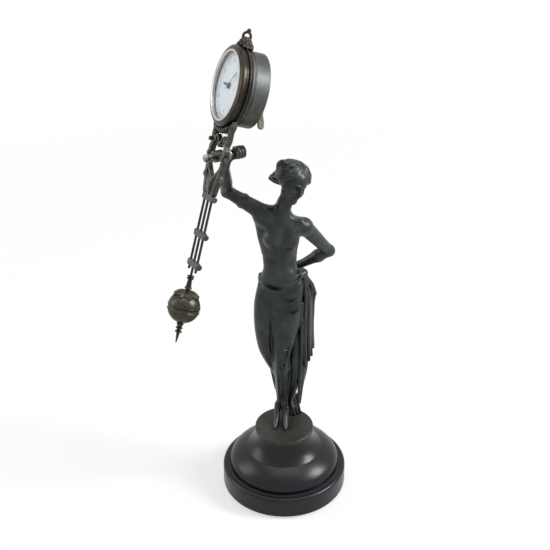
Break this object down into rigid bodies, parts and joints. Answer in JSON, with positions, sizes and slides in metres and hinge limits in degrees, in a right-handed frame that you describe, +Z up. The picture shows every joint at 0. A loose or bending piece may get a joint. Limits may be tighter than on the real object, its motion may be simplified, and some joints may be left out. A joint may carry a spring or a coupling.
{
  "type": "swinging mystery clock",
  "caption": "Swinging drum clock with a ball pendulum, hung on a bar that a cast draped figure holds up on a turned black base.",
  "frame": {"origin": "centre of the base's underside, on the surface it stands on", "axes": "+Z up; the figure faces -Y; +X is to the right seen from the front"},
  "size_m": [0.1456, 0.1245, 0.4186],
  "materials": {
    "felt": "woven wool felt",
    "ebonised_wood": "black ebonised and polished beech",
    "steel": "plain turned steel",
    "spelter": "cast zinc alloy with a dark green-grey bronze patina",
    "pivot_steel": "dull steel",
    "frame_brass": "cast brass, worn silvery grey",
    "aged_brass": "dull tarnished brass",
    "bob_brass": "polished brass gone brown-grey",
    "lead": "cast lead",
    "drum_brass": "nickel-washed brass, worn to olive",
    "bezel_brass": "dark bronzed brass",
    "clear_glass": "bevelled clear glass",
    "enamel": "white enamel, slightly glossy",
    "gilt_brass": "lacquered movement brass",
    "blued_steel": "blued steel",
    "nickel": "nickel-plated, brushed"
  },
  "bodies": {
    "stand": {"felt_pad": "felt", "base_foot": "ebonised_wood", "base_socle": "ebonised_wood", "fixing_washer": "steel", "fixing_bolt": "steel", "ground_disc": "spelter", "figure_body": "spelter", "figure_head": "spelter", "raised_arm": "spelter", "bent_arm": "spelter", "pivot_bar": "pivot_steel"},
    "cradle": {"pivot_cradle": "frame_brass"},
    "clock": {"side_frame": "frame_brass", "trunnion_screws": "aged_brass", "crossbars": "frame_brass", "rods": "pivot_steel", "column": "aged_brass", "drum_case": "drum_brass", "rear_cover": "drum_brass", "bezel": "bezel_brass", "bezel_band": "aged_brass", "glass": "clear_glass", "dial": "enamel", "crest": "aged_brass", "balance_weight": "lead", "front_plate": "gilt_brass", "back_plate": "gilt_brass", "pillars": "gilt_brass", "plate_screws": "blued_steel", "pallet_cock": "gilt_brass"},
    "bob": {"bob_upper_shell": "bob_brass", "bob_lower_shell": "bob_brass", "bob_weight": "lead", "bob_leaf_cap": "aged_brass"},
    "nut": {"rating_nut": "aged_brass"},
    "winder": {"winding_arbor": "steel", "winding_key": "nickel"},
    "click_lever": {"click": "steel"},
    "barrel_turn": {"barrel": "gilt_brass", "mainspring": "blued_steel"},
    "centre_turn": {"centre_wheel": "gilt_brass"},
    "third_turn": {"third_wheel": "gilt_brass"},
    "fourth_turn": {"fourth_wheel": "gilt_brass"},
    "escape_turn": {"escape_wheel": "gilt_brass"},
    "escapement": {"pallet_anchor": "steel", "hidden_pendulum": "gilt_brass"},
    "minute_turn": {"centre_arbor": "steel", "minute_hand": "blued_steel", "set_knob": "nickel"},
    "motion_turn": {"minute_wheel": "gilt_brass"},
    "hour_turn": {"hour_wheel": "gilt_brass", "hour_hand": "blued_steel"}
  },
  "joints": [
    {"name": "clock_swing", "type": "hinge", "parent": "stand", "child": "cradle", "pos_m": [-0.0512, -0.014, 0.3304], "axis": [0.921, 0.3894, 0], "range_deg": [-5, 16]},
    {"name": "clock_lean", "type": "hinge", "parent": "cradle", "child": "clock", "pos_m": [-0.0512, -0.014, 0.3304], "axis": [0.3759, -0.889, 0.2617], "range_deg": [-3, 20]},
    {"name": "rating_nut_turn", "type": "hinge", "parent": "bob", "child": "nut", "pos_m": [-0.08152, -0.06278, 0.20823], "axis": [0.2246, 0.3614, 0.905], "range_deg": [-720, 720]},
    {"name": "bob_height", "type": "slide", "parent": "clock", "child": "bob", "axis": [0.2246, 0.3614, 0.905], "range_m": [-0.0005, 0.0005]},
    {"name": "winding_turn", "type": "hinge", "parent": "clock", "child": "winder", "pos_m": [-0.03276, -0.00273, 0.37139], "axis": [0.899, 0.2814, -0.3355], "continuous": true},
    {"name": "click_lift", "type": "hinge", "parent": "clock", "child": "click_lever", "pos_m": [-0.02667, -0.00622, 0.37525], "axis": [0.899, 0.2814, -0.3355], "range_deg": [0, 8]},
    {"name": "fourth_wheel_turn", "type": "hinge", "parent": "clock", "child": "fourth_turn", "pos_m": [-0.0315, 0.01071, 0.38603], "axis": [0.899, 0.2814, -0.3355], "continuous": true},
    {"name": "third_wheel_turn", "type": "hinge", "parent": "clock", "child": "third_turn", "pos_m": [-0.03596, 0.01672, 0.37911], "axis": [0.899, 0.2814, -0.3355], "continuous": true},
    {"name": "centre_wheel_turn", "type": "hinge", "parent": "clock", "child": "centre_turn", "pos_m": [-0.03379, 0.00702, 0.3768], "axis": [0.899, 0.2814, -0.3355], "continuous": true},
    {"name": "barrel_spin", "type": "hinge", "parent": "clock", "child": "barrel_turn", "pos_m": [-0.03276, -0.00273, 0.37139], "axis": [0.899, 0.2814, -0.3355], "continuous": true},
    {"name": "escape_wheel_turn", "type": "hinge", "parent": "clock", "child": "escape_turn", "pos_m": [-0.02932, 0.00101, 0.38373], "axis": [0.899, 0.2814, -0.3355], "continuous": true},
    {"name": "pendulum_swing", "type": "hinge", "parent": "clock", "child": "escapement", "pos_m": [-0.02282, 0.00673, 0.38807], "axis": [0.899, 0.2814, -0.3355], "range_deg": [-3.5, 3.5]},
    {"name": "minute_hand_turn", "type": "hinge", "parent": "clock", "child": "minute_turn", "pos_m": [-0.03379, 0.00702, 0.3768], "axis": [0.899, 0.2814, -0.3355], "continuous": true},
    {"name": "minute_wheel_turn", "type": "hinge", "parent": "clock", "child": "motion_turn", "pos_m": [-0.04238, 0.00584, 0.37366], "axis": [0.899, 0.2814, -0.3355], "continuous": true},
    {"name": "hour_hand_turn", "type": "hinge", "parent": "clock", "child": "hour_turn", "pos_m": [-0.04188, 0.00449, 0.37982], "axis": [0.899, 0.2814, -0.3355], "continuous": true}
  ],
  "couplings": [
    {"joint": "rating_nut_turn", "follows": "bob_height", "rad_per_m": -12566},
    {"joint": "third_wheel_turn", "follows": "fourth_wheel_turn", "ratio": -0.13333},
    {"joint": "centre_wheel_turn", "follows": "fourth_wheel_turn", "ratio": 0.017778},
    {"joint": "barrel_spin", "follows": "fourth_wheel_turn", "ratio": -0.002963},
    {"joint": "escape_wheel_turn", "follows": "fourth_wheel_turn", "ratio": -7.5},
    {"joint": "minute_wheel_turn", "follows": "minute_hand_turn", "ratio": -0.33333},
    {"joint": "hour_hand_turn", "follows": "minute_hand_turn", "ratio": 0.083333}
  ]
}
